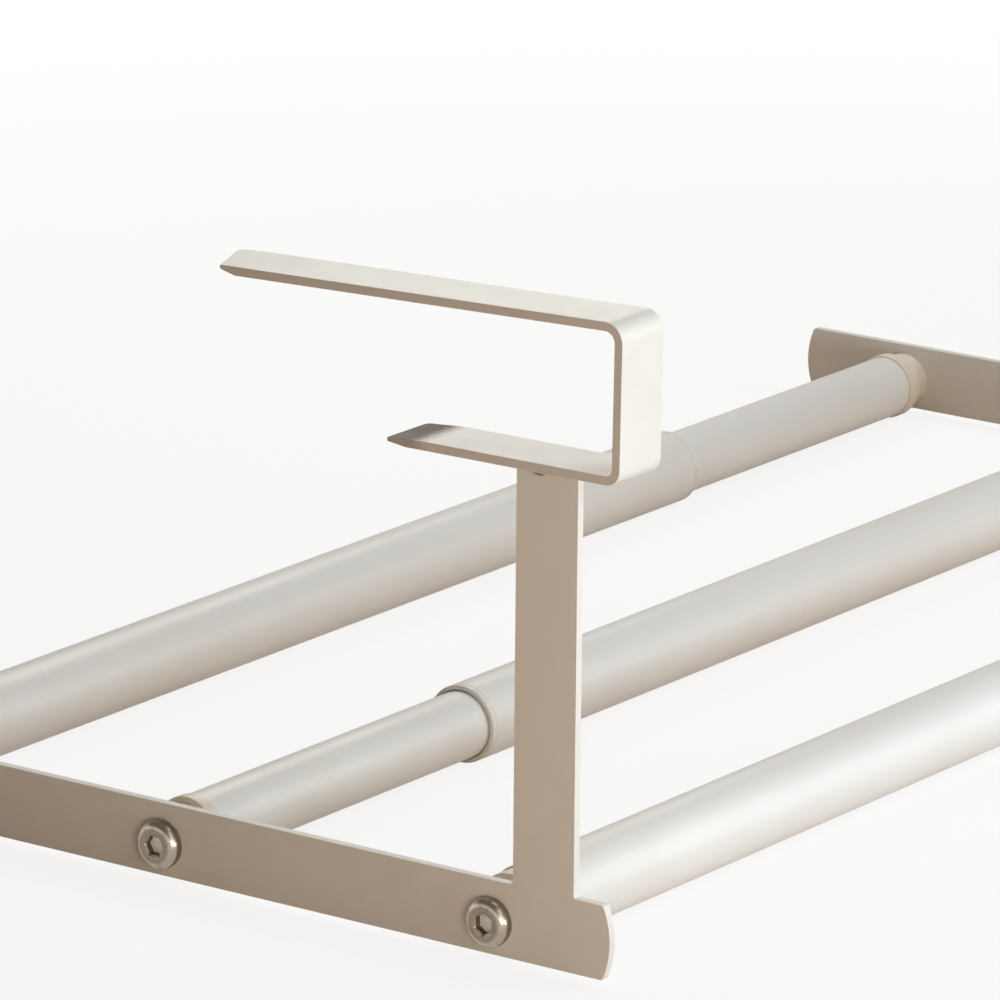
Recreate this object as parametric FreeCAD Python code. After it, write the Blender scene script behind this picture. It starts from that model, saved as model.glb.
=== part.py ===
import FreeCAD, Part
import math
import os

from FreeCAD import Vector

# Shoe rack that clips onto the front edge of a shelf board and hangs below it.
# Two mirrored side frames are joined by three telescoping bars, so the rack pulls out in width.
# X runs along the bars, Y to the back and Z up. The origin is under the middle of the rack
# at its resting width, level with the undersides of the outer tubes. Sizes are in millimetres.

# ---- Whole rack ----
rest_width = 520.0              # over the outer faces of the side plates, bars half pulled out
bar_pitch = 106.6               # from one bar's axis to the next

# ---- Clearances ----
fit_gap = 0.05                  # radial, between pieces that are pushed or glued together
running_gap = 0.2               # radial, between a guide and the tube that slides past it
stop_gap = 0.4                  # along the bars, left at each end of the travel
screw_hole_gap = 0.2            # radial, round a screw in the side plate and the plug's end wall

# ---- Side plates: flat sheet with a rail and an upright ----
plate_thickness = 2.4
rail_height = 20.0
rail_over_bar = 11.1            # from a bar's axis up to the rail's top edge
rail_end_reach = 34.8           # from the last bar's axis to the rail's corners, at either end
rail_end_bulge = 2.3            # how far the curved rail ends stand out at mid-height
upright_width = 19.0
upright_setback = 6.7           # from the front bar's axis forward to the upright's back edge
inner_corner_radius = 0.7

# ---- Shelf clips: bent strap, open to the back ----
strap_thickness = 2.4
strap_width = 18.0
low_bend_radius = 1.9           # on the inside, between the lower arm and the front
high_bend_radius = 2.9          # on the inside, between the front and the upper arm
slot_floor = 123.7              # from the bar's axis up to the lower arm's top face, at the bend
slot_height = 37.5              # between the arms, at the bend
clip_reach = 38.2               # from the front bar's axis forward to the clip's lower corner
clip_lean = 0.67                # degrees, the clip's front leans forward at the top
upper_arm_droop = 1.87          # degrees, each arm falls towards its tip
lower_arm_droop = 0.4
upper_arm_length = 133.1
lower_arm_length = 72.4
upper_tip_skew = 7.4            # how far the upper tip falls back at the outer edge
upper_tip_radius = 2.4          # at its inner corner
lower_tip_taper_length = 6.0    # the lower arm's end is pressed thinner on either face
lower_tip_taper_above = 0.4
lower_tip_taper_below = 0.9
lower_tip_outer_radius = 0.8
lower_tip_inner_radius = 1.6
tip_stock = 2.0                 # extra strap beyond the upper tip, trimmed at the skew
weld_leg = 2.2
weld_inset = 0.8                # the weld stops short of the upright's edges

# ---- Telescoping bars ----
inner_tube_diameter = 19.0
inner_tube_wall = 0.8
inner_tube_length = 340.0
outer_tube_wall = 0.8
outer_tube_length = 370.0
guide_wall = 0.45               # of the plastic guides that fill the gap between the two tubes
guide_sleeve_length = 60.0      # over the inner tube's inner end
guide_sleeve_end = 1.5
mouth_bush_grip = 12.0          # inside the outer tube's mouth
mouth_bush_flange = 2.0

# ---- End plugs ----
barrel_length = 12.6            # of the large plug, between the plate and the outer tube
barrel_recess = 0.5             # radial step from the outer tube down to the barrel
neck_length = 7.8               # of the small plug, next to the plate
neck_recess = 1.1               # radial step from the inner tube down to the neck
collar_length = 4.2             # of the small plug, between the neck and the inner tube
collar_rise = 0.5               # radial step from the inner tube up to the collar
spigot_length = 16.0            # of either plug, inside its tube
spigot_sides = 8                # its corners grip the tube's bore
plug_floor = 3.0                # end wall that the nut pulls against the side plate

# ---- Screws and nuts ----
screw_diameter = 8.0
screw_length = 16.0
head_diameter = 13.3
head_height = 3.6
socket_width = 5.0              # across the flats of the hexagon
socket_depth = 2.4
nut_width = 12.0                # across the flats of the hexagon
nut_length = 11.0

# ---- Worked out from the sizes above ----
outer_tube_bore = inner_tube_diameter + 2 * (fit_gap + guide_wall + running_gap)
outer_tube_diameter = outer_tube_bore + 2 * outer_tube_wall
inner_tube_bore = inner_tube_diameter - 2 * inner_tube_wall
small_plug_length = neck_length + collar_length
outer_tube_start = plate_thickness + barrel_length
outer_tube_end = outer_tube_start + outer_tube_length
inner_tube_start = plate_thickness + small_plug_length
inner_tube_end = inner_tube_start + inner_tube_length
nut_start = plate_thickness + plug_floor

bar_depth = {"front": 0.0, "middle": bar_pitch, "rear": 2 * bar_pitch}
outer_tube_side = {"front": "left", "middle": "right", "rear": "left"}
socket_turn = {"front": 0.0, "middle": 30.0, "rear": 12.0}      # degrees, as the key left them

BAR_AXIS = Vector(1, 0, 0)
ORIGIN = Vector(0, 0, 0)


# Each piece is built for the left side frame. There X = 0 is the outer face of the side plate,
# and Y = Z = 0 is the axis of the front bar, or of the piece's own bar if it is round.


def heading(degrees):
    """Unit vector in the YZ plane, measured from straight back towards straight up."""
    turn = math.radians(degrees)
    return Vector(0, math.cos(turn), math.sin(turn))


def line(start, end):
    return Part.LineSegment(start, end).toShape()


def arc(start, middle, end):
    return Part.Arc(start, middle, end).toShape()


def rod(start, end, diameter):
    """Cylinder on the bar's axis."""
    return Part.makeCylinder(diameter / 2, end - start, Vector(start, 0, 0), BAR_AXIS)


def pipe(start, end, outer, bore):
    return rod(start, end, outer).cut(rod(start, end, bore))


def prism(start, end, across_corners, sides, turn=0):
    """Regular prism on the bar's axis, with a corner upwards at no turn."""
    radius = across_corners / 2
    angles = [math.radians(turn + step * 360 / sides) for step in range(sides + 1)]
    corners = [Vector(start, radius * math.sin(angle), radius * math.cos(angle)) for angle in angles]
    return Part.Face(Part.makePolygon(corners)).extrude(Vector(end - start, 0, 0))


def hexagon(start, end, across_flats, turn=0):
    return prism(start, end, across_flats / math.cos(math.pi / 6), 6, turn)


# ---- Side frame ----

clip_low_corner = Vector(0, -clip_reach, slot_floor - strap_thickness)
upper_arm = heading(-upper_arm_droop)
lower_arm = heading(-lower_arm_droop)
upright_back = -upright_setback
upright_front = upright_back - upright_width


def under_lower_arm(depth):
    """Point on the lower arm's underside at a given depth."""
    run = (depth - clip_low_corner.y) / lower_arm.y
    return clip_low_corner + lower_arm * run


def side_plate():
    """Rail with curved ends, an upright close to its front end, and a hole at each bar."""
    top = rail_over_bar
    bottom = top - rail_height
    middle = (top + bottom) / 2
    front = -rail_end_reach
    rear = bar_depth["rear"] + rail_end_reach
    outline = Part.Wire([
        arc(Vector(0, front, bottom), Vector(0, front - rail_end_bulge, middle), Vector(0, front, top)),
        line(Vector(0, front, top), Vector(0, rear, top)),
        arc(Vector(0, rear, top), Vector(0, rear + rail_end_bulge, middle), Vector(0, rear, bottom)),
        line(Vector(0, rear, bottom), Vector(0, front, bottom)),
    ])
    foot_corners = [Vector(0, upright_front, top), Vector(0, upright_back, top)]
    upright_outline = Part.makePolygon([
        Vector(0, upright_front, middle),
        under_lower_arm(upright_front),
        under_lower_arm(upright_back),
        Vector(0, upright_back, middle),
        Vector(0, upright_front, middle),
    ])
    sheet = Vector(plate_thickness, 0, 0)
    rail = Part.Face(outline).extrude(sheet)
    upright = Part.Face(upright_outline).extrude(sheet)
    plate = rail.fuse(upright).removeSplitter()
    inner_corners = [edge for edge in plate.Edges
                     if any(edge.CenterOfMass.isEqual(corner + sheet / 2, 1e-6) for corner in foot_corners)]
    plate = plate.makeFillet(inner_corner_radius, inner_corners)
    hole = rod(0, plate_thickness, screw_diameter + 2 * screw_hole_gap)
    for depth in bar_depth.values():
        plate = plate.cut(hole.translated(Vector(0, depth, 0)))
    return plate


def rounded_corner(before, corner, after, radius):
    """Ends and middle of the arc that rounds the corner of a path."""
    to_before = (before - corner).normalize()
    to_after = (after - corner).normalize()
    half_angle = to_before.getAngle(to_after) / 2
    tangent_length = radius / math.tan(half_angle)
    inward = (to_before + to_after).normalize()
    middle = corner + inward * (radius / math.sin(half_angle) - radius)
    return corner + to_before * tangent_length, middle, corner + to_after * tangent_length


def strap():
    """Strap of even width, bent round the shelf board: lower arm, front and upper arm."""
    front_height = slot_height + 2 * strap_thickness
    high_corner = clip_low_corner + heading(90 + clip_lean) * front_height
    lower_tip = clip_low_corner + lower_arm * lower_arm_length
    upper_tip = high_corner + upper_arm * (upper_arm_length + tip_stock)
    low_bend = rounded_corner(lower_tip, clip_low_corner, high_corner,
                              low_bend_radius + strap_thickness)
    high_bend = rounded_corner(clip_low_corner, high_corner, upper_tip,
                               high_bend_radius + strap_thickness)
    outside = Part.Wire([
        line(lower_tip, low_bend[0]),
        arc(*low_bend),
        line(low_bend[2], high_bend[0]),
        arc(*high_bend),
        line(high_bend[2], upper_tip),
    ])
    section = outside.makeOffset2D(strap_thickness, 2, True, True)
    return section.extrude(Vector(strap_width, 0, 0))


def upper_tip_waste():
    """What the press trims off the upper arm, beyond its skewed tip."""
    inner = Vector(strap_width, upper_arm_length - clip_reach, slot_floor)
    skew = Vector(strap_width, upper_tip_skew, 0)
    beyond = Vector(0, 4 * upper_tip_skew, 0)
    start = inner - skew * 2
    end = inner + skew
    outline = Part.makePolygon([start, end, end + beyond, start + beyond, start])
    return Part.Face(outline).extrude(Vector(0, 0, slot_height + 2 * strap_thickness))


def lower_tip_waste():
    """What is pressed off either face of the lower arm's end, so that the board slides in."""
    above = heading(90 - lower_arm_droop)
    along = lower_arm * (2 * lower_tip_taper_length)
    taper_start = clip_low_corner + lower_arm * (lower_arm_length - lower_tip_taper_length)
    wedges = []
    for height, taper in ((0, lower_tip_taper_below), (strap_thickness, lower_tip_taper_above)):
        start = taper_start + above * height
        spread = above * (2 * taper)
        wedge = Part.makePolygon([start, start + along + spread, start + along - spread, start])
        wedges.append(Part.Face(wedge).extrude(Vector(strap_width, 0, 0)))
    return wedges


def round_tip_corner(clip, outside, upper, radius):
    """Round one corner of a tip, seen from above."""
    corners = [edge for edge in clip.Edges
               if edge.BoundBox.ZLength > strap_thickness / 2
               and edge.BoundBox.XLength < fit_gap
               and edge.BoundBox.YLength < strap_thickness
               and (edge.CenterOfMass.x < strap_width / 2) == outside
               and (edge.CenterOfMass.z > slot_floor) == upper]
    return clip.makeFillet(radius, [max(corners, key=lambda edge: edge.CenterOfMass.y)])


def shelf_clip():
    """The bent strap with both of its tips shaped."""
    clip = strap().cut(upper_tip_waste())
    clip = round_tip_corner(clip, False, True, upper_tip_radius)
    clip = round_tip_corner(clip, False, False, lower_tip_inner_radius)
    clip = round_tip_corner(clip, True, False, lower_tip_outer_radius)
    return clip.cut(lower_tip_waste())


def clip_weld():
    """Fillet weld in the corner between the upright's inner face and the lower arm's underside."""
    start = under_lower_arm(upright_front + weld_inset)
    end = under_lower_arm(upright_back - weld_inset)
    root = start + Vector(plate_thickness, 0, 0)
    on_arm = root + Vector(weld_leg, 0, 0)
    on_upright = root - Vector(0, 0, weld_leg)
    bulge = root + Vector(1, 0, -1) * (weld_leg * 0.6)
    section = Part.Wire([line(root, on_arm), arc(on_arm, bulge, on_upright), line(on_upright, root)])
    return Part.Face(section).extrude(end - start)


# ---- Fasteners and end plugs ----


def screw(turn):
    """Low-headed screw with a hexagon socket, its thread left out."""
    head = rod(-head_height, 0, head_diameter)
    shank = rod(0, screw_length, screw_diameter)
    socket = hexagon(-head_height, socket_depth - head_height, socket_width, turn)
    return head.fuse(shank).removeSplitter().cut(socket)


def nut():
    """Long hexagon nut that sits in the plug, with the thread left out."""
    blank = hexagon(nut_start, nut_start + nut_length, nut_width)
    return blank.cut(rod(nut_start, nut_start + nut_length, screw_diameter + 2 * fit_gap))


def plug(exposed, spigot_start, spigot_diameter):
    """Either plug's exposed end, made whole with its spigot, and the nut's pocket behind an end wall."""
    spigot_end = spigot_start + spigot_length
    body = exposed.fuse(prism(spigot_start, spigot_end, spigot_diameter, spigot_sides)).removeSplitter()
    body = body.cut(rod(plate_thickness, nut_start, screw_diameter + 2 * screw_hole_gap))
    return body.cut(hexagon(nut_start, spigot_end, nut_width + 2 * fit_gap))


def large_plug():
    """Plain barrel that closes an outer tube."""
    barrel = rod(plate_thickness, outer_tube_start, outer_tube_diameter - 2 * barrel_recess)
    return plug(barrel, outer_tube_start, outer_tube_bore - 2 * fit_gap)


def small_plug():
    """Neck and collar that close an inner tube."""
    collar_start = plate_thickness + neck_length
    neck = rod(plate_thickness, collar_start, inner_tube_diameter - 2 * neck_recess)
    collar = rod(collar_start, inner_tube_start, inner_tube_diameter + 2 * collar_rise)
    return plug(neck.fuse(collar), inner_tube_start, inner_tube_bore - 2 * fit_gap)


# ---- Bars ----


def outer_tube():
    return pipe(outer_tube_start, outer_tube_end, outer_tube_diameter, outer_tube_bore)


def inner_tube():
    return pipe(inner_tube_start, inner_tube_end, inner_tube_diameter, inner_tube_bore)


def mouth_bush():
    """Plastic bush in the outer tube's mouth, flush outside, in which the inner tube runs."""
    flange = rod(outer_tube_end, outer_tube_end + mouth_bush_flange, outer_tube_diameter)
    grip = rod(outer_tube_end - mouth_bush_grip, outer_tube_end, outer_tube_bore - 2 * fit_gap)
    bore = rod(outer_tube_end - mouth_bush_grip, outer_tube_end + mouth_bush_flange,
               inner_tube_diameter + 2 * running_gap)
    return flange.fuse(grip).removeSplitter().cut(bore)


def guide_sleeve():
    """Plastic cap over the inner tube's inner end, which slides in the outer tube.

    Its rim meets the mouth bush when the bar is pulled right out, and so stops it.
    """
    bore = inner_tube_diameter + 2 * fit_gap
    cap = rod(inner_tube_end - guide_sleeve_length, inner_tube_end + guide_sleeve_end,
              bore + 2 * guide_wall)
    return cap.cut(rod(inner_tube_end - guide_sleeve_length, inner_tube_end, bore))


# ---- Assembly ----


def on_bars(bars, shape):
    """One piece repeated on several bars, as one compound."""
    return Part.makeCompound([shape.translated(Vector(0, bar_depth[bar], 0)) for bar in bars])


def side_frame(side):
    """Every piece of one side frame, by name, still in the left frame's own coordinates.

    The small pieces that repeat within a frame are kept together as sets.
    """
    bars = list(bar_depth)
    outer_bars = [bar for bar in bars if outer_tube_side[bar] == side]
    inner_bars = [bar for bar in bars if outer_tube_side[bar] != side]
    pieces = {
        side + "_side_plate": side_plate(),
        side + "_shelf_clip": shelf_clip(),
        side + "_clip_weld": clip_weld(),
        side + "_nut_set": on_bars(bars, nut()),
        side + "_large_plug_set": on_bars(outer_bars, large_plug()),
        side + "_small_plug_set": on_bars(inner_bars, small_plug()),
        side + "_mouth_bush_set": on_bars(outer_bars, mouth_bush()),
        side + "_guide_sleeve_set": on_bars(inner_bars, guide_sleeve()),
    }
    for bar in bars:
        pieces[side + "_" + bar + "_screw"] = on_bars([bar], screw(socket_turn[bar]))
    for bar in outer_bars:
        pieces[bar + "_outer_tube"] = on_bars([bar], outer_tube())
    for bar in inner_bars:
        pieces[bar + "_inner_tube"] = on_bars([bar], inner_tube())
    return pieces


def main():
    left = side_frame("left")
    right = side_frame("right")
    footprint = left["left_side_plate"].optimalBoundingBox(False)
    footprint.add(left["left_shelf_clip"].optimalBoundingBox(False))
    place = Vector(-rest_width / 2, -footprint.Center.y, outer_tube_diameter / 2)
    placed = {name: shape.translated(place) for name, shape in left.items()}
    for name, shape in right.items():
        placed[name] = shape.translated(place).mirror(ORIGIN, BAR_AXIS)

    os.makedirs("parts", exist_ok=True)
    for name, shape in placed.items():
        shape.exportStep("parts/" + name + ".step")

    shut_width = outer_tube_end + mouth_bush_flange + inner_tube_start + stop_gap
    least_overlap = guide_sleeve_length + mouth_bush_grip + stop_gap
    open_width = outer_tube_end + inner_tube_end - least_overlap
    print("nodes", len(placed))
    print("width shut, at rest and open", shut_width, rest_width, open_width)
    print("travel", round(shut_width - rest_width, 3), round(open_width - rest_width, 3))


main()
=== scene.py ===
# %% [markdown]
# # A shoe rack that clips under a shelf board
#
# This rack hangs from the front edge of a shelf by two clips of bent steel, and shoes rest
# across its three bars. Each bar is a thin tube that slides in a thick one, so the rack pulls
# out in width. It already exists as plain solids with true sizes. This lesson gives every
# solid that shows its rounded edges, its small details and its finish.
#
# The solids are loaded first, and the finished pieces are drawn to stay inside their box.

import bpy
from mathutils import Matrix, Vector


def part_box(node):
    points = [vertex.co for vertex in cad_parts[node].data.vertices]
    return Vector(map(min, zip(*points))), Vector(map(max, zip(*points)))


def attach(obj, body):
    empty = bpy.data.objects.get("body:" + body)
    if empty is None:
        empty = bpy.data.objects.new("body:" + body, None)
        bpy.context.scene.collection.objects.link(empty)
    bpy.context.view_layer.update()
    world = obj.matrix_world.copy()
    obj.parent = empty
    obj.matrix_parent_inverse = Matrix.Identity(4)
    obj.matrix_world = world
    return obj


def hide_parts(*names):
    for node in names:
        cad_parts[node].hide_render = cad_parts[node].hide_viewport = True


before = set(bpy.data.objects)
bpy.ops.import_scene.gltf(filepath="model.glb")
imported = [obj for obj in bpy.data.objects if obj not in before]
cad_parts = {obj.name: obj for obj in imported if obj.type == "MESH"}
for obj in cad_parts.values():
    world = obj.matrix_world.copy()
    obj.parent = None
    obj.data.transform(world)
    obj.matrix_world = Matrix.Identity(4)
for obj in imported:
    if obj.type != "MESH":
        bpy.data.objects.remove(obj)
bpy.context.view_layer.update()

# %% [markdown]
# ## Where everything sits
#
# Blender counts in metres, but sheet metal is thought of in millimetres. So every piece is
# modelled in millimetres for the left side frame: X runs from the outer face of the side plate
# along the bars, Y to the back and Z up, and the front bar's axis is at Y = Z = 0. The solids
# tell where that corner is in the whole rack, so nothing has to be fitted by eye.

# %% Read the anchors from the solids
import math

import bmesh
import bpy
from mathutils import Matrix, Vector

MM = 0.001
SIDES = ("left", "right")
BARS = ("front", "middle", "rear")
OUTER_TUBE_SIDE = {"front": "left", "middle": "right", "rear": "left"}


def box_mm(node):
    """Lowest and highest corner of a solid, in millimetres."""
    low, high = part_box(node)
    return low / MM, high / MM


axis = {bar: sum(box_mm(bar + "_outer_tube"), Vector()) / 2 for bar in BARS}
frame_corner = Vector((box_mm("left_side_plate")[0].x, axis["front"].y, axis["front"].z))
bar_depth = {bar: axis[bar].y - frame_corner.y for bar in BARS}
print("frame corner", frame_corner, "bars at", bar_depth)

# %% Measure a solid along its bar


def along_bar(node, side):
    """Start and end of a solid along X, from the outer face of its own side plate."""
    low, high = box_mm(node)
    ends = (low.x, high.x) if side == "left" else (-high.x, -low.x)
    return [end - frame_corner.x for end in ends]


print("front outer tube runs from, to", along_bar("front_outer_tube", "left"))

# %% [markdown]
# ## From a mesh to a piece of the rack
#
# A finished mesh has to be moved from the left frame's millimetres to its place, mirrored if
# it belongs to the right frame, and made an object that moves with that frame. Mirroring turns
# a shape inside out, so its doubles are merged and its normals are worked out afresh
# afterwards. The object itself stays at the origin, unturned and unscaled, so that patterns
# on Object coordinates stay put. Smooth shading with weighted normals keeps the large faces
# flat and lets only the rounded edges roll over.

# %% Helpers that add and place a piece
MERGE_DISTANCE = 0.0005     # millimetres
CREASE = math.radians(36)


def add_object(name, data):
    """Puts a mesh, a lamp or a camera into the scene."""
    added = bpy.data.objects.new(name, data)
    bpy.context.scene.collection.objects.link(added)
    return added


def place_piece(mesh, name, side, nodes, finish):
    """Turns a mesh in the left frame's millimetres into a finished piece of either frame."""
    bmesh.ops.remove_doubles(mesh, verts=mesh.verts, dist=MERGE_DISTANCE)
    bmesh.ops.translate(mesh, verts=mesh.verts, vec=frame_corner)
    handed = -MM if side == "right" else MM
    bmesh.ops.scale(mesh, verts=mesh.verts, vec=(handed, MM, MM))
    bmesh.ops.recalc_face_normals(mesh, faces=mesh.faces)
    open_edges = sum(not edge.is_manifold for edge in mesh.edges)
    data = bpy.data.meshes.new(name)
    mesh.to_mesh(data)
    mesh.free()
    data.shade_smooth()
    data.set_sharp_from_angle(angle=CREASE)
    data.materials.append(finish)
    piece = add_object(name, data)
    weights = piece.modifiers.new("even shading", "WEIGHTED_NORMAL")
    weights.keep_sharp = True
    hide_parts(*nodes)
    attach(piece, side + "_frame")
    print(name, "faces", len(data.polygons), "open edges", open_edges)
    return piece


# %% [markdown]
# ## Node trees written as sums
#
# A finish is a small calculation on where a point is. Wrapping a node's output in a class
# whose operators add Math nodes lets that calculation be written as it is thought:
# `1 - dust * 0.3`. Colours and vectors don't go through Math nodes, which would turn them
# grey, but through Mix and Vector Math. One method makes any other node, with its settings
# first, because some of them change which sockets the node has.

# %% A wrapped socket


class Signal:
    """An output socket. Arithmetic on it adds Math nodes to its finish."""

    def __init__(self, finish, socket):
        self.finish = finish
        self.socket = socket

    def math(self, operation, *values):
        settings = {"operation": operation}
        return self.finish.node("Math", settings, dict(enumerate(values)))

    def __add__(self, other):
        return self.math("ADD", self, other)

    def __sub__(self, other):
        return self.math("SUBTRACT", self, other)

    def __rsub__(self, other):
        return self.math("SUBTRACT", other, self)

    def __mul__(self, other):
        return self.math("MULTIPLY", self, other)

    def __pow__(self, other):
        return self.math("POWER", self, other)

    __radd__ = __add__
    __rmul__ = __mul__

    def rise(self, start, end):
        """0 up to start, 1 from end on, and a soft slope between them."""
        settings = {"interpolation_type": "SMOOTHSTEP"}
        inputs = {"Value": self, "From Min": start, "From Max": end}
        return self.finish.node("MapRange", settings, inputs)


# %% A finish with its shader


class Finish:
    """One material: a shader with constant sockets, and nodes that feed the varying ones."""

    def __init__(self, name, **constants):
        self.material = bpy.data.materials.new(name)
        self.material.use_nodes = True
        self.tree = self.material.node_tree
        self.shader = self.tree.nodes["Principled BSDF"]
        for socket, value in constants.items():
            self.shader.inputs[socket.replace("_", " ")].default_value = value
        self.place = self.node("TexCoord", output="Object")

    def plug(self, socket, value):
        """Sets a socket to a constant, or links it to a signal."""
        if isinstance(value, Signal):
            self.tree.links.new(value.socket, socket)
        else:
            socket.default_value = value

    def node(self, kind, settings=None, inputs=None, output=0):
        """Adds a node, sets it up, then fills its sockets, and returns one of its outputs."""
        node = self.tree.nodes.new("ShaderNode" + kind)
        for setting, value in (settings or {}).items():
            setattr(node, setting, value)
        for socket, value in (inputs or {}).items():
            self.plug(node.inputs[socket], value)
        return Signal(self, node.outputs[output])

    def feed(self, **signals):
        """Links signals to the shader's sockets."""
        for socket, signal in signals.items():
            self.plug(self.shader.inputs[socket.replace("_", " ")], signal)


# %% [markdown]
# ## Patterns that every finish uses
#
# Nothing real has one even value all over. Soft noise makes the coat a little cloudy, finer
# noise makes its skin uneven, and each has a size that can be measured: `grain=0.8` is a
# pattern of 0.8 mm. A Mapping node squeezes the coordinates where a pattern is drawn out
# along the bars. The heights that feed a Bump node are in millimetres too, so a number such
# as 0.01 can be checked against what a coat really does.

# %% Noise, blends and bumps


def noise(finish, grain, detail=2.0, stretch=(1, 1, 1)):
    """Soft noise of a given grain in millimetres, drawn out by the stretch along each axis."""
    squeeze = [1 / length for length in stretch]
    place = finish.node("Mapping", {"vector_type": "POINT"},
                        {"Vector": finish.place, "Scale": squeeze})
    inputs = {"Vector": place, "Scale": 1 / (grain * MM), "Detail": detail}
    return finish.node("TexNoise", {}, inputs)


def blend(finish, mask, first, second):
    """Goes from the first colour to the second as the mask goes from 0 to 1."""
    inputs = {"Factor": mask, 6: first, 7: second}
    return finish.node("Mix", {"data_type": "RGBA"}, inputs, output=2)


def bump(finish, height):
    """Normal that leans with a height given in millimetres."""
    return finish.node("Bump", {}, {"Height": height, "Distance": MM})


def tint(red, green, blue):
    """Colour as it is read off a screen, from 0 to 255, as the light it stands for."""
    def light(level):
        level /= 255
        return level / 12.92 if level <= 0.04045 else ((level + 0.055) / 1.055) ** 2.4
    return (light(red), light(green), light(blue), 1.0)


print("warm white", tint(238, 234, 226))

# %% Where a point is in the left frame


def frame_mm(finish, letter):
    """Y or Z of the point in the left frame's millimetres. The right frame has the same."""
    part = finish.node("SeparateXYZ", {}, {"Vector": finish.place}, output=letter)
    return part * (1 / MM) - getattr(frame_corner, letter.lower())


print("patterns can be placed from", frame_corner)

# %% A mask that finds edges


def near_edges(finish, reach):
    """1 on edges and corners, 0 on open faces. The reach is in millimetres."""
    rounded = finish.node("Bevel", {"samples": 6}, {"Radius": reach * MM})
    true = finish.node("NewGeometry", output="Normal")
    inputs = {0: rounded, 1: true}
    likeness = finish.node("VectorMath", {"operation": "DOT_PRODUCT"}, inputs, output="Value")
    return (1 - likeness).rise(0.01, 0.12)


# %% [markdown]
# ## Powder coat
#
# The side frames are steel sheet with a satin powder coat in a warm off-white. The powder
# melts in the oven into a skin with a very fine orange peel, which softens reflections more
# than it shows by itself. The coat is slightly cloudy from one hand's width to the next, it is
# a little smoother over edges, which are painted paler as a highlight, and a few specks of dust
# are baked into it. Where the clip's weld was ground flush, a small pit was left, and the shade
# inside it is painted in darker. Each of these is a mask from 0 to 1, and a line below says what
# it does to colour, height and gloss.

# %% The frames' coat
PIT_DEPTH, PIT_HEIGHT = -13.5, 120.8    # from the front bar's axis


def specks(finish, spacing, size, share):
    """Few round specks in a large field, both sizes in millimetres."""
    cells = {"Scale": 1 / (spacing * MM), "Randomness": 1.0, "Vector": finish.place}
    distance = finish.node("TexVoronoi", {"feature": "F1"}, cells, output="Distance")
    chance = finish.node("TexVoronoi", {"feature": "F1"}, cells, output="Color")
    pick = finish.node("SeparateColor", {}, {"Color": chance}, output="Red")
    dot = 1 - distance.rise(0.3 * size / spacing, size / spacing)
    return dot * pick.rise(1 - share, 1 - share + 0.01)


def weld_pit(coat):
    """A small pit where the weld was ground flush, under the front half of each lower arm."""
    along = (frame_mm(coat, "Y") - PIT_DEPTH) * 0.45
    across = (frame_mm(coat, "Z") - PIT_HEIGHT) * 3.2 + noise(coat, 1.5, detail=2) * 1.2 - 0.6
    return 1 - ((along * along + across * across) ** 0.5).rise(0.4, 1.2)


def powder_coat(name, wear_and_shade=None):
    """The coat, with a worn part that is partly painted shade, if a function is given that finds
    it.
    """
    coat = Finish(name, Specular_IOR_Level=0.45)
    clouds = noise(coat, 70, detail=3).rise(0.3, 0.7)
    haze = noise(coat, 9, detail=4).rise(0.35, 0.7)
    peel = noise(coat, 0.9, detail=1.5)
    skin = noise(coat, 0.22, detail=2)
    edges = near_edges(coat, 0.7)
    dust = specks(coat, spacing=14, size=0.22, share=0.25)
    pit_and_shade = weld_pit(coat)
    body = blend(coat, clouds, tint(240, 239, 235), tint(234, 232, 226))
    body = blend(coat, haze * 0.4, body, tint(243, 242, 238))
    # Edges and corners are painted paler as a painted highlight. The coat is also a little
    # smoother there.
    body = blend(coat, edges * 0.5, body, tint(247, 246, 242))
    body = blend(coat, dust * 0.5, body, tint(170, 152, 130))
    # The bump dents the pit, and the shade inside it is painted in as a darker tint.
    body = blend(coat, pit_and_shade * 0.8, body, tint(120, 104, 88))
    height = peel * 0.011 + skin * 0.002 + dust * 0.03 - pit_and_shade * 0.15
    gloss = 0.44 + haze * 0.07 - edges * 0.08
    if wear_and_shade:
        sheared, rubbed = wear_and_shade(coat)
        body = blend(coat, sheared * 0.6, body, tint(212, 205, 196))
        # The lower tip's dark tint is partly rubbed coat and partly painted shade on its tapered
        # top.
        body = blend(coat, rubbed * (0.95 - sheared * 0.6), body, tint(88, 66, 46))
        height = height - rubbed * 0.05
        gloss = gloss + sheared * 0.1 + rubbed * 0.18
    coat.feed(Base_Color=body, Roughness=gloss, Normal=bump(coat, height))
    return coat.material


frame_coat = powder_coat("frame_powder_coat")
print("made", frame_coat.name)

# %% [markdown]
# ## The clips' coat
#
# The clips were sheared from a strip, and the coat lies thinner and greyer on those two rough
# sides. At the lower arm's tip, which scrapes over the board each time the rack is put on, the
# coat is partly rubbed to dull steel, and its tapered top is painted dark as shade where it
# turns away from the light. A side is where the true normal points along X. The tip is found by
# its depth and height, and noise frays the border of the dark patch.

# %% The clips' coat
TIP_WEAR_AND_SHADE_START = 22.0       # from the front bar's axis to the back
TIP_WEAR_AND_SHADE_FADE = 7.0
LOWER_ARM_TOP = 125.0


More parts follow.
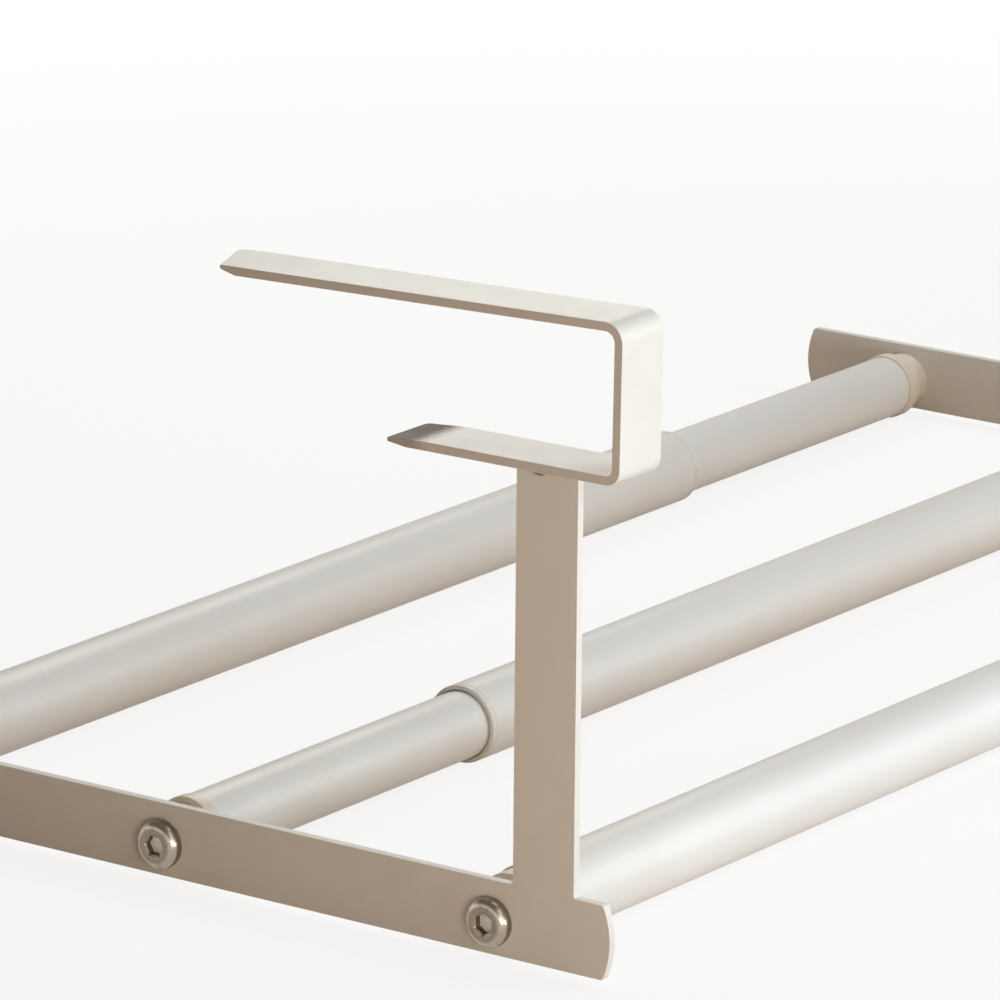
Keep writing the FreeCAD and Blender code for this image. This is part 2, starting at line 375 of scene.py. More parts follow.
def clip_wear_and_shade(coat):
    """Where a clip was sheared, and where its lower tip is rubbed and painted dark as shade."""
    facing = coat.node("NewGeometry", output="True Normal")
    across = coat.node("SeparateXYZ", {}, {"Vector": facing}, output="X")
    sheared = across.math("ABSOLUTE", across).rise(0.75, 0.97)
    frayed = frame_mm(coat, "Y") + noise(coat, 1.2, detail=3) * 3
    lower_arm = 1 - frame_mm(coat, "Z").rise(LOWER_ARM_TOP - 0.5, LOWER_ARM_TOP + 0.5)
    rubbed = frayed.rise(TIP_WEAR_AND_SHADE_START, TIP_WEAR_AND_SHADE_START + TIP_WEAR_AND_SHADE_FADE) * lower_arm
    return sheared, rubbed


clip_coat = powder_coat("clip_powder_coat", clip_wear_and_shade)
print("made", clip_coat.name)

# %% [markdown]
# ## The tubes' coat
#
# The tubes carry the same kind of coat in a cleaner white. They were drawn through a die, so
# under the coat run faint lines along each tube, and sliding has rubbed fine scratches along
# it. Both are noise that is drawn out a hundredfold along X and kept very low.

# %% The tubes' coat, with draw lines and rubbing


def tube_coat():
    coat = Finish("tube_powder_coat", Specular_IOR_Level=0.5)
    clouds = noise(coat, 55, detail=3).rise(0.3, 0.7)
    peel = noise(coat, 1.0, detail=1.5)
    drawn = noise(coat, 0.8, detail=3, stretch=(120, 1, 1))
    rubbed = noise(coat, 0.35, detail=2, stretch=(90, 1, 1)).rise(0.62, 0.75)
    patches = noise(coat, 30, detail=2).rise(0.5, 0.7)
    wear = rubbed * patches
    body = blend(coat, clouds, tint(239, 239, 237), tint(235, 234, 230))
    body = blend(coat, wear * 0.35, body, tint(205, 198, 188))
    height = peel * 0.009 + drawn * 0.006 - wear * 0.004
    coat.feed(Base_Color=body,
              Roughness=0.36 + clouds * 0.06 + wear * 0.12,
              Normal=bump(coat, height))
    return coat.material


tube_finish = tube_coat()
print("made", tube_finish.name)

# %% [markdown]
# ## Moulded plastics
#
# The end plugs are moulded in cream plastic, softly shiny where the mould was polished and
# with faint flow marks round their axis. The guides in the tubes are plain white and duller.
# One function makes both, because only their colours and gloss differ.

# %% Plug and guide plastic


def moulded_plastic(name, light, deep, gloss):
    plastic = Finish(name, Specular_IOR_Level=0.5)
    flow = noise(plastic, 6, detail=3, stretch=(0.5, 1, 1)).rise(0.3, 0.7)
    skin = noise(plastic, 0.3, detail=2)
    edges = near_edges(plastic, 0.5)
    body = blend(plastic, flow, light, deep)
    # Edges and corners are painted toward the lighter tint as a painted highlight.
    body = blend(plastic, edges * 0.4, body, light)
    plastic.feed(Base_Color=body,
                 Roughness=gloss + flow * 0.08,
                 Normal=bump(plastic, skin * 0.004 + flow * 0.01))
    return plastic.material


plug_plastic = moulded_plastic("cream_plastic", tint(240, 232, 217), tint(232, 221, 202), 0.38)
guide_plastic = moulded_plastic("white_plastic", tint(240, 238, 232), tint(231, 228, 219), 0.5)
print("made", plug_plastic.name, guide_plastic.name)

# %% [markdown]
# ## Screw steel
#
# The screws have low heads of turned stainless steel. The lathe leaves fine rings round the
# axis, and tumbling rounds the shoulder and leaves it smoother than the flat face. The
# shoulder is painted brighter than the face as a painted highlight, the head's outer side is
# painted dark as shade where it meets the plate, the socket's walls are painted dark as shade,
# and its floor is painted bright as a glint. The rings need the distance from the screw's own
# axis. All bars are the same distance apart, so wrapping Y at that pitch folds the six screws
# onto one, and one finish serves them all.

# %% Distance from the nearest bar's axis
bar_pitch = axis["middle"].y - axis["front"].y


def from_bar(finish):
    """Distance in millimetres from the nearest bar's axis."""
    depth, height = frame_mm(finish, "Y"), frame_mm(finish, "Z")
    aside = depth.math("WRAP", depth, bar_pitch / 2, -bar_pitch / 2)
    return (aside * aside + height * height) ** 0.5


# %% Turned steel
HEAD_RADIUS = 6.65
HEAD_HEIGHT = 3.6
SHOULDER_RADIUS = 2.4
SOCKET_RIM = 3.3
SOCKET_DEPTH = 2.4
COUNTERSINK = 0.4
RINGS_PER_MM = 9


def turned_steel():
    steel = Finish("turned_steel", Metallic=1.0)
    radius = from_bar(steel)
    rings = steel.node("TexNoise", {"noise_dimensions": "1D"},
                       {"W": radius * RINGS_PER_MM, "Detail": 3.0})
    grime = noise(steel, 1.6, detail=4).rise(0.45, 0.75)
    scratches = noise(steel, 0.12, detail=2)
    reach = steel.node("SeparateXYZ", {}, {"Vector": steel.place}, output="X")
    sunk = HEAD_HEIGHT - frame_corner.x - reach.math("ABSOLUTE", reach) * (1 / MM)
    flat_edge = HEAD_RADIUS - SHOULDER_RADIUS
    shoulder = radius.rise(flat_edge, flat_edge + 0.9)
    side = radius.rise(HEAD_RADIUS - 0.2, HEAD_RADIUS - 0.03)
    within = 1 - radius.rise(SOCKET_RIM, SOCKET_RIM + 0.1)
    shaded_socket = sunk.rise(COUNTERSINK, COUNTERSINK + 0.2) * within
    floor = shaded_socket * sunk.rise(SOCKET_DEPTH - 0.15, SOCKET_DEPTH)
    # The shoulder's brighter tint against the darker flat face is a painted highlight.
    body = blend(steel, shoulder, tint(166, 153, 138), tint(206, 197, 184))
    body = blend(steel, grime * 0.3, body, tint(118, 104, 88))
    # The head's outer side is painted dark as shade where it meets the plate.
    body = blend(steel, side * 0.6, body, tint(110, 95, 78))
    # The socket's walls are painted dark as shade inside the recess.
    body = blend(steel, shaded_socket * 0.85, body, tint(78, 66, 50))
    # The socket's floor is painted bright as a painted glint.
    body = blend(steel, floor, body, tint(240, 236, 228))
    steel.feed(Base_Color=body,
               Roughness=0.36 - shoulder * 0.13 + grime * 0.12 + floor * 0.2,
               Normal=bump(steel, rings * 0.006 + scratches * 0.0015))
    return steel.material


screw_steel = turned_steel()
print("made", screw_steel.name)

# %% [markdown]
# ## Zinc plate
#
# The long nuts inside the plugs are zinc plated. They hardly show, so the solid's own shape
# is kept and only its finish is made: bluish grey with the patchy bloom that zinc takes on.
# The guide sleeves are hidden in the thick tubes and are treated the same way, in white
# plastic.

# %% Finishes of the hidden solids


def zinc_plate():
    zinc = Finish("nut_zinc", Metallic=1.0)
    bloom = noise(zinc, 3, detail=4).rise(0.35, 0.7)
    grain = noise(zinc, 0.3, detail=2)
    zinc.feed(Base_Color=blend(zinc, bloom, tint(205, 208, 210), tint(176, 178, 176)),
              Roughness=0.3 + bloom * 0.2,
              Normal=bump(zinc, grain * 0.004))
    return zinc.material


nut_zinc = zinc_plate()
for side in SIDES:
    kept_solids = {side + "_nut_set": nut_zinc, side + "_guide_sleeve_set": guide_plastic}
    for node, finish in kept_solids.items():
        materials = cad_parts[node].data.materials
        materials.clear()
        materials.append(finish)
        print(node, "keeps its shape and gets", finish.name)

# %% [markdown]
# ## Tools for sheet metal
#
# A sheet part starts as an outline of a few vertices joined by edges. Beveling single
# vertices rounds the outline's corners, filling and extruding gives it its thickness, and
# beveling the rims rounds them as the coat does. The bevel operator's defaults differ from
# the ones in the editor, so the helpers below spell out what matters.

# %% Outline, corner and rim helpers
SHARP = math.radians(50)
ALONG_X = Matrix.Rotation(math.pi / 2, 4, "Y")      # turns a flat circle to face along X


def everything(mesh):
    return mesh.verts[:] + mesh.edges[:] + mesh.faces[:]


def only(kind, made):
    """What a bmesh operator made, of one kind."""
    return [item for item in made["geom"] if isinstance(item, kind)]


def outline(mesh, points, closed=False):
    """Vertices joined one after another by edges."""
    verts = [mesh.verts.new(point) for point in points]
    ends = verts[1:] + verts[:1] if closed else verts[1:]
    for pair in zip(verts, ends):
        mesh.edges.new(pair)
    return verts


def round_corners(mesh, verts, reach, segments=4):
    """Replaces each corner of an outline by an arc that starts at a given reach from it."""
    bmesh.ops.bevel(mesh, geom=verts, offset=reach, offset_type="OFFSET", segments=segments,
                    profile=0.5, affect="VERTICES", material=-1, clamp_overlap=True)


def round_edges(mesh, edges, reach, segments=3):
    """Rounds edges of a solid."""
    bmesh.ops.bevel(mesh, geom=edges, offset=reach, offset_type="OFFSET", segments=segments,
                    profile=0.5, affect="EDGES", material=-1, clamp_overlap=True,
                    loop_slide=True)


def thicken(mesh, offset):
    """Extrudes the faces by a vector and leaves a closed sheet with normals outwards."""
    made = bmesh.ops.extrude_face_region(mesh, geom=mesh.faces[:], use_keep_orig=True)
    bmesh.ops.translate(mesh, verts=only(bmesh.types.BMVert, made), vec=offset)
    bmesh.ops.recalc_face_normals(mesh, faces=mesh.faces)


def rims(mesh, across):
    """Sharp edges of a sheet, without those that run through its thickness."""
    across = Vector(across).normalized()
    return [edge for edge in mesh.edges
            if edge.calc_face_angle(0) > SHARP
            and abs((edge.verts[1].co - edge.verts[0].co).normalized().dot(across)) < 0.5]


# %% [markdown]
# ## Side plates
#
# Each side plate is one piece of flat steel: a rail with gently curved ends, an upright near
# its front end, and a hole at each bar for its screw. The upright's foot has a small inner
# radius on either side. The curved ends come from `spin`, which sweeps a single vertex along
# an arc. The holes are circles inside the outline, and `triangle_fill` leaves them open.

# %% Sizes of the side plates
PLATE_THICKNESS = 2.4
RAIL_TOP = 11.1
RAIL_BOTTOM = RAIL_TOP - 20.0
RAIL_END = 34.8             # from the last bar's axis to the rail's corners
END_BULGE = 2.25            # a little less than the solid's, whose curve is faceted
UPRIGHT_FRONT = -25.7
UPRIGHT_BACK = -6.7
SCREW_HOLE_RADIUS = 4.2
FOOT_RADIUS = 0.7
CORNER_RADIUS = 0.6
PLATE_RIM = 0.4

CLIP_CORNER = Vector((0, -38.185, 121.3))   # outer lower corner of the clip
LOWER_DROOP = math.radians(0.4)


def arm_underside(depth):
    """Point on the underside of the clip's lower arm."""
    return Vector((0, depth, CLIP_CORNER.z - (depth - CLIP_CORNER.y) * math.tan(LOWER_DROOP)))


print("upright ends at", arm_underside(UPRIGHT_FRONT), arm_underside(UPRIGHT_BACK))

# %% Shape of a side plate


def curved_end(mesh, corner, outwards):
    """Sweeps the rail's upper corner along a shallow arc down to its lower corner."""
    half_height = (RAIL_TOP - RAIL_BOTTOM) / 2
    radius = (half_height ** 2 + END_BULGE ** 2) / (2 * END_BULGE)
    centre = corner.co + Vector((0, outwards * (END_BULGE - radius), -half_height))
    sweep = 2 * math.asin(half_height / radius)
    made = bmesh.ops.spin(mesh, geom=[corner], cent=centre, axis=(1, 0, 0), dvec=(0, 0, 0),
                          angle=-outwards * sweep, steps=16, use_merge=False)
    return made["geom_last"][0]


def side_plate():
    mesh = bmesh.new()
    front, rear = -RAIL_END, bar_depth["rear"] + RAIL_END
    top = outline(mesh, [
        (0, front, RAIL_TOP),
        (0, UPRIGHT_FRONT, RAIL_TOP),
        arm_underside(UPRIGHT_FRONT),
        arm_underside(UPRIGHT_BACK),
        (0, UPRIGHT_BACK, RAIL_TOP),
        (0, rear, RAIL_TOP),
    ])
    low_front = curved_end(mesh, top[0], outwards=-1)
    low_rear = curved_end(mesh, top[-1], outwards=1)
    mesh.edges.new((low_front, low_rear))
    round_corners(mesh, [top[1], top[4]], FOOT_RADIUS)
    round_corners(mesh, [top[0], top[5], low_front, low_rear], CORNER_RADIUS)
    for bar in BARS:
        hole = Matrix.Translation((0, bar_depth[bar], 0)) @ ALONG_X
        bmesh.ops.create_circle(mesh, cap_ends=False, radius=SCREW_HOLE_RADIUS, segments=48,
                                matrix=hole)
    bmesh.ops.triangle_fill(mesh, use_beauty=True, edges=mesh.edges[:], normal=(-1, 0, 0))
    thicken(mesh, (PLATE_THICKNESS, 0, 0))
    joint = arm_underside(UPRIGHT_BACK).z - 0.5
    free_rims = [edge for edge in rims(mesh, (1, 0, 0))
                 if min(vert.co.z for vert in edge.verts) < joint]
    round_edges(mesh, free_rims, PLATE_RIM)
    return mesh


for side in SIDES:
    place_piece(side_plate(), side + "_plate", side, [side + "_side_plate"],
                frame_coat)

# %% [markdown]
# ## Shelf clips
#
# Each clip is a strap of steel bent twice round the shelf board. It is made here the way the
# press makes it: a flat blank is cut with shaped ends, its rims are rounded while it is flat
# and easy to work on, cuts are put in where it will bend, and then it is bent. The bend moves
# everything beyond a line round an axis, so the strap keeps its thickness and the rounded
# rims follow. Modelling the bent shape directly would need the same rounding on curved edges,
# where the bevel operator is far less sure.

# %% Sizes of the clips
STRAP_WIDTH = 18.0
STRAP_THICKNESS = 2.4
LOW_BEND_RADIUS = 4.3       # outside
HIGH_BEND_RADIUS = 5.3
FRONT_HEIGHT = 42.275       # between the two outer corners
LOWER_ARM = 72.385
UPPER_ARM = 133.66
TIP_SKEW = 7.4              # how far the upper tip falls back at its outer edge
LOW_BEND = math.radians(88.93)
HIGH_BEND = math.radians(92.54)
BEVEL_ABOVE = (13.0, 1.2)   # how far from the lower tip its top face falls, and how much
BEVEL_BELOW = (6.0, 0.8)    # and its underside rises
UPPER_BEVEL = (4.5, 1.3)    # the upper tip's underside rises
PRESS_CUTS = 6
TIP_ROUNDINGS = ((3.6, 8), (1.6, 6), (0.8, 5))      # reach and segments, corner by corner
STRAP_RIM = 0.25
GROUND_RIM = 0.8            # the upper tip was ground rounder than the other rims

low_setback = LOW_BEND_RADIUS * math.tan(LOW_BEND / 2)
high_setback = HIGH_BEND_RADIUS * math.tan(HIGH_BEND / 2)
lower_tip = LOWER_ARM - low_setback
low_bend_end = -LOW_BEND_RADIUS * LOW_BEND
high_bend_start = low_bend_end - (FRONT_HEIGHT - low_setback - high_setback)
high_bend_end = high_bend_start - HIGH_BEND_RADIUS * HIGH_BEND
upper_tip = high_bend_end - (UPPER_ARM - high_setback)
print("blank from", lower_tip, "to", upper_tip)

# %% The flat blank


def cut_across(mesh, start, end, cuts):
    """Rings of edges across the strap, evenly spaced from start to end."""
    for step in range(cuts + 1):
        depth = start + (end - start) * step / cuts
        bmesh.ops.bisect_plane(mesh, geom=everything(mesh), plane_co=(0, depth, 0),
                               plane_no=(0, 1, 0))


def press(mesh, edge, inwards, bevel, face, curve=1):
    """Presses one face towards the other (face 0 is the outer one) near a straight edge."""
    length, depth = bevel
    for step in range(PRESS_CUTS):
        cut = edge + inwards * length * (1 - step / PRESS_CUTS)
        bmesh.ops.bisect_plane(mesh, geom=everything(mesh), plane_co=cut, plane_no=inwards)
    for vert in mesh.verts:
        share = max(0, 1 - (vert.co - edge).dot(inwards) / length)
        level = vert.co.z / STRAP_THICKNESS
        nearness = level if face else 1 - level
        vert.co.z += (-depth if face else depth) * share ** curve * nearness


def blank():
    """The strap before it is bent: the lower arm lies towards +Y, the inner face is up."""
    mesh = bmesh.new()
    corners = outline(mesh, [
        (STRAP_WIDTH, upper_tip, 0),
        (STRAP_WIDTH, lower_tip, 0),
        (0, lower_tip, 0),
        (0, upper_tip + TIP_SKEW, 0),
    ], closed=True)
    for corner, (reach, segments) in zip(corners, TIP_ROUNDINGS):
        round_corners(mesh, [corner], reach, segments)
    bmesh.ops.edgeloop_fill(mesh, edges=mesh.edges[:])
    thicken(mesh, (0, 0, STRAP_THICKNESS))
    ground = [edge for edge in rims(mesh, (0, 0, 1))
              if max(vert.co.y for vert in edge.verts) < upper_tip + TIP_SKEW + 0.1]
    round_edges(mesh, ground, GROUND_RIM, segments=5)
    round_edges(mesh, rims(mesh, (0, 0, 1)), STRAP_RIM)
    low_end, high_end = Vector((0, lower_tip, 0)), Vector((STRAP_WIDTH, upper_tip, 0))
    press(mesh, low_end, Vector((0, -1, 0)), BEVEL_ABOVE, face=1, curve=1.7)
    press(mesh, low_end, Vector((0, -1, 0)), BEVEL_BELOW, face=0)
    skew = Vector((TIP_SKEW, STRAP_WIDTH, 0)).normalized()
    press(mesh, high_end, skew, UPPER_BEVEL, face=1)
    return mesh


# %% Bending it


def bend(mesh, line, beyond, centre_height, angle):
    """Rolls what lies beyond a line round an axis above (+) or below (-) the sheet."""
    centre = Vector((0, line, centre_height))
    radius = abs(centre_height)
    way = math.copysign(beyond, beyond * centre_height)
    for vert in mesh.verts:
        run = (vert.co.y - line) * beyond
        if run > 0:
            turn = min(run / radius, angle)
            arm = vert.co - centre - Vector((0, turn * radius * beyond, 0))
            vert.co = centre + Matrix.Rotation(turn * way, 3, "X") @ arm


def shelf_clip():
    mesh = blank()
    cut_across(mesh, 0, low_bend_end, 14)
    cut_across(mesh, high_bend_start, high_bend_end, 14)
    bend(mesh, high_bend_start, -1, HIGH_BEND_RADIUS, HIGH_BEND)
    bend(mesh, 0, -1, LOW_BEND_RADIUS, LOW_BEND)
    bmesh.ops.translate(mesh, verts=mesh.verts, vec=(0, low_setback, 0))
    bmesh.ops.rotate(mesh, verts=mesh.verts, cent=(0, 0, 0),
                     matrix=Matrix.Rotation(-LOWER_DROOP, 3, "X"))
    bmesh.ops.translate(mesh, verts=mesh.verts, vec=CLIP_CORNER)
    return mesh


for side in SIDES:
    place_piece(shelf_clip(), side + "_clip", side, [side + "_shelf_clip"],
                clip_coat)

# %% [markdown]
# ## Welds
#
# The clip's lower arm stands on the upright's end and is welded to it. Outside, the weld is
# ground flush. Inside, where nobody sands, a small bead with its ripples is left under the
# coat. The bead is a rounded triangle that is extruded step by step, and each step swells or
# shrinks it a little towards the corner it lies in.

# %% A rippled bead
WELD_LEG = 2.1
WELD_INSET = 0.8
RIPPLE = 0.9
STEPS_PER_RIPPLE = 4


def extrude_ring(mesh, ring):
    """Extrudes a closed ring of edges in place. Returns the new ring and its vertices."""
    made = bmesh.ops.extrude_edge_only(mesh, edges=ring)
    verts = only(bmesh.types.BMVert, made)
    ring = [edge for edge in only(bmesh.types.BMEdge, made)
            if all(vert in verts for vert in edge.verts)]
    return ring, verts


def weld_bead():
    mesh = bmesh.new()
    start = arm_underside(UPRIGHT_FRONT + WELD_INSET)
    end = arm_underside(UPRIGHT_BACK - WELD_INSET)
    root = start + Vector((PLATE_THICKNESS, 0, 0))
    corners = outline(mesh, [
        root,
        root + Vector((WELD_LEG, 0, 0)),
        root + Vector((WELD_LEG * 0.72, 0, -WELD_LEG * 0.72)),
        root + Vector((0, 0, -WELD_LEG)),
    ], closed=True)
    round_corners(mesh, [corners[2]], 0.8, segments=4)
    ring = mesh.edges[:]
    bmesh.ops.edgeloop_fill(mesh, edges=ring)
    steps = round((end - start).length / RIPPLE) * STEPS_PER_RIPPLE
    sizes = []
    for step in range(steps + 1):
        ripple = 0.93 + 0.07 * abs(math.cos(math.pi * step / STEPS_PER_RIPPLE))
        run_out = min(1, 0.55 + 0.2 * min(step, steps - step))
        sizes.append(ripple * run_out)
    towards_root = Matrix.Translation(-root)
    bmesh.ops.scale(mesh, verts=mesh.verts, vec=(sizes[0], 1, sizes[0]), space=towards_root)
    for step in range(1, steps + 1):
        ring, verts = extrude_ring(mesh, ring)
        growth = sizes[step] / sizes[step - 1]
        here = Matrix.Translation(-(root + (end - start) * (step - 1) / steps))
        bmesh.ops.scale(mesh, verts=verts, vec=(growth, 1, growth), space=here)
        bmesh.ops.translate(mesh, verts=verts, vec=(end - start) / steps)
    bmesh.ops.edgeloop_fill(mesh, edges=ring)
    return mesh


for side in SIDES:
    place_piece(weld_bead(), side + "_weld", side, [side + "_clip_weld"],
                frame_coat)

# %% [markdown]
# ## Turned pieces
#
# Tubes, plugs, bushes and screws are all round, so one helper turns them as a lathe would. Its
# profile is a list of corners: the distance along the bar, the radius, and how far the corner
# is rounded. A closed profile gives a ring, and an open one that ends on the axis gives a
# full body whose pole is closed when its doubles are merged.

# %% The lathe
TURNS = 96


def lathe(profile, closed=True):
    """Spins a profile of (along, radius, rounding) round the bar's axis."""
    mesh = bmesh.new()
    corners = outline(mesh, [(along, 0, radius) for along, radius, _ in profile], closed)
    for corner, (_, _, rounding) in zip(corners, profile):
        if rounding:
            round_corners(mesh, [corner], rounding, segments=4 + round(2 * rounding))
    bmesh.ops.spin(mesh, geom=everything(mesh), cent=(0, 0, 0), axis=(1, 0, 0),
                   dvec=(0, 0, 0), angle=math.tau, steps=TURNS, use_merge=True)
    bmesh.ops.remove_doubles(mesh, verts=mesh.verts, dist=MERGE_DISTANCE)
    return mesh


def on_bars(mesh, bars):
    """Repeats a turned shape on several bars, in one mesh."""
    first = everything(mesh)
    start = bar_depth[bars[0]]
    for bar in bars[1:]:
        made = bmesh.ops.duplicate(mesh, geom=first)
        bmesh.ops.translate(mesh, verts=only(bmesh.types.BMVert, made),
                            vec=(0, bar_depth[bar] - start, 0))
    bmesh.ops.translate(mesh, verts=mesh.verts, vec=(0, start, 0))
    return mesh


# %% [markdown]
# ## Tubes
#
# Front and rear bars have their thick tube on the left frame, the middle bar on the right.
# That keeps both halves equally stiff. A tube is a ring with long walls, so its profile is a
# thin rectangle, and only its cut ends are rounded.

# %% Thick and thin tubes
OUTER_RADIUS, OUTER_BORE = 11.0, 10.2
INNER_RADIUS, INNER_BORE = 9.5, 8.7


def tube(start, end, radius, bore):
    lip = 0.25
    return lathe([(start, bore, lip), (start, radius, lip), (end, radius, lip), (end, bore, lip)])


for bar in BARS:
    for kind, radius, bore in (("outer", OUTER_RADIUS, OUTER_BORE),
                               ("inner", INNER_RADIUS, INNER_BORE)):
        node = bar + "_" + kind + "_tube"
        home = OUTER_TUBE_SIDE[bar]
        side = home if kind == "outer" else SIDES[1 - SIDES.index(home)]
        start, end = along_bar(node, side)
        mesh = on_bars(tube(start, end, radius, bore), [bar])
        place_piece(mesh, bar + "_" + kind + "_bar", side, [node], tube_finish)

# %% [markdown]
# ## End plugs and mouth bushes
#
# A plug closes each tube's end and holds the nut that the screw pulls on. Both kinds have a
# narrow neck at the side plate. On a thick tube's plug follows a barrel, a little thinner than
# the tube, so that a fine step shows, and on a thin tube's plug a raised collar. A bush closes
# the open mouth of each thick tube, flush outside, and the thin tube runs in it. Plugs and
# bushes of one frame are one mesh each, as their solids are.

# %% Profiles of the plugs
NUT_ROOM = 7.0
NUT_START = 5.4
SPIGOT = 16.0
BARREL_RADIUS, BARREL_START, BARREL_END = 10.5, 8.0, 15.0
NECK_RADIUS, NECK_END = 8.4, 10.2
COLLAR_RADIUS, COLLAR_END = 10.0, 14.4
SNUG = 0.05                 # how much thinner than its bore a spigot is, in radius


def plug(exposed, shoulder, spigot_radius):
    """A turned plug: its exposed end, a spigot inside the tube, and room for the nut."""
    end = shoulder + SPIGOT
    return lathe(exposed + [
        (shoulder, spigot_radius, 0),
        (end, spigot_radius, 0.8),
        (end, NUT_ROOM, 0.3),
        (NUT_START, NUT_ROOM, 0),
        (NUT_START, SCREW_HOLE_RADIUS, 0),
        (PLATE_THICKNESS, SCREW_HOLE_RADIUS, 0),
    ])


def large_plug():
    neck_and_barrel = [
        (PLATE_THICKNESS, NECK_RADIUS, 0.3),
        (BARREL_START, NECK_RADIUS, 0.3),
        (BARREL_START, BARREL_RADIUS, 0.5),
        (BARREL_END, BARREL_RADIUS, 0.4),
    ]
    return plug(neck_and_barrel, BARREL_END, OUTER_BORE - SNUG)


def small_plug():
    neck_and_collar = [
        (PLATE_THICKNESS, NECK_RADIUS, 0.3),
        (NECK_END, NECK_RADIUS, 0.3),
        (NECK_END, COLLAR_RADIUS, 0.5),
        (COLLAR_END, COLLAR_RADIUS, 0.5),
    ]
    return plug(neck_and_collar, COLLAR_END, INNER_BORE - SNUG)


# %% Profile of the mouth bush
BUSH_GRIP = 12.0
BUSH_FLANGE = 2.0
BUSH_BORE = 9.7


def mouth_bush(start):
    """A bush whose grip starts at a given distance inside the tube's mouth."""
    mouth = start + BUSH_GRIP
    end = mouth + BUSH_FLANGE
    grip = OUTER_BORE - SNUG
    return lathe([
        (start, grip, 0.3), (mouth, grip, 0), (mouth, OUTER_RADIUS, 0.2),
        (end, OUTER_RADIUS, 0.6), (end, BUSH_BORE, 0.4), (start, BUSH_BORE, 0.4),
    ])


# %% Place plugs and bushes
for side in SIDES:
    outer_bars = [bar for bar in BARS if OUTER_TUBE_SIDE[bar] == side]
    inner_bars = [bar for bar in BARS if OUTER_TUBE_SIDE[bar] != side]
    bush_start = along_bar(side + "_mouth_bush_set", side)[0]
    place_piece(on_bars(large_plug(), outer_bars), side + "_large_plugs", side,
                [side + "_large_plug_set"], plug_plastic)
    place_piece(on_bars(small_plug(), inner_bars), side + "_small_plugs", side,
                [side + "_small_plug_set"], plug_plastic)
    place_piece(on_bars(mouth_bush(bush_start), outer_bars), side + "_mouth_bushes", side,
                [side + "_mouth_bush_set"], guide_plastic)

# %% [markdown]
# ## Screws
#
# A low round head with a soft shoulder and a hexagon socket. The head and shank are turned,
# with the profile left open at the socket's countersunk rim. That rim is then bridged to a
# hexagon with as many vertices, and the hexagon is extruded inwards and closed by a shallow
# cone, as a broached socket is. Each screw was stopped by the key at its own angle.

# %% Head, shank and socket
SHANK_RADIUS = 4.0
SHANK_LENGTH = 16.0
SOCKET_FLATS = 5.0
CONE_DEPTH = 0.5
SOCKET_TURN = {"front": 0, "middle": 30, "rear": 12}    # degrees from a corner upwards


def screw(turn):
    face = -HEAD_HEIGHT
    mesh = lathe([
        (SHANK_LENGTH, 0, 0), (SHANK_LENGTH, SHANK_RADIUS, 0.9), (0, SHANK_RADIUS, 0),
        (0, HEAD_RADIUS, 0.25), (face, HEAD_RADIUS, SHOULDER_RADIUS), (face, SOCKET_RIM, 0.1),
    ], closed=False)
    rim = [edge for edge in mesh.edges if edge.is_boundary]
    turned = Matrix.Rotation(math.radians(90 - turn), 4, "X") @ ALONG_X
    sunk = Matrix.Translation((face + COUNTERSINK, 0, 0)) @ turned
    made = bmesh.ops.create_circle(mesh, cap_ends=False, segments=6,
                                   radius=SOCKET_FLATS / math.sqrt(3), matrix=sunk)
    sides = list({edge for vert in made["verts"] for edge in vert.link_edges})
    made = bmesh.ops.subdivide_edges(mesh, edges=sides, cuts=TURNS // 6 - 1)
    sides = only(bmesh.types.BMEdge, made)
    bmesh.ops.bridge_loops(mesh, edges=rim + sides)
    for deeper, size in ((SOCKET_DEPTH - COUNTERSINK, 1), (CONE_DEPTH, 0)):
        sides, verts = extrude_ring(mesh, sides)
        bmesh.ops.translate(mesh, verts=verts, vec=(deeper, 0, 0))
        bmesh.ops.scale(mesh, verts=verts, vec=(1, size, size))
    return mesh


for side in SIDES:
    for bar in BARS:
        place_piece(on_bars(screw(SOCKET_TURN[bar]), [bar]), side + "_" + bar + "_bolt", side,
                    [side + "_" + bar + "_screw"], screw_steel)

# %% [markdown]
# ## Floor
#
# The rack stands on a plain pale floor that has to look white and still take a shadow. So for
# the camera it is a mix: near the rack 85 percent of it glows at a strength of 1, which is
# white, and the rest is an ordinary matt surface, on which the shadow falls. Further out the
# matt share fades away, because the ends of the lamps' light would show on it as edges.
# Reflections see about half of that glow. Light on its way to the rack meets the matt surface
# alone, and only for that light it is a warm beige, which warms the undersides.

# %% A floor that looks white and takes a shadow
FLOOR_SIZE = 30.0
NEAR_GLOW = 0.85
FADE_START, FADE_END = 0.35, 0.85       # metres from the rack's middle
REFLECTED_GLOW = 0.54
WHITE = (1, 1, 1, 1)


def seen_directly(finish, reflected):
    """1 for what the camera sees, less for what a reflection sees, 0 for light on its way."""
    rays = [finish.node("LightPath", output=ray)
            for ray in ("Is Camera Ray", "Is Transmission Ray", "Is Glossy Ray")]
    direct = rays[0].math("MAXIMUM", rays[0], rays[1])
    return direct.math("MAXIMUM", direct, rays[2] * reflected)


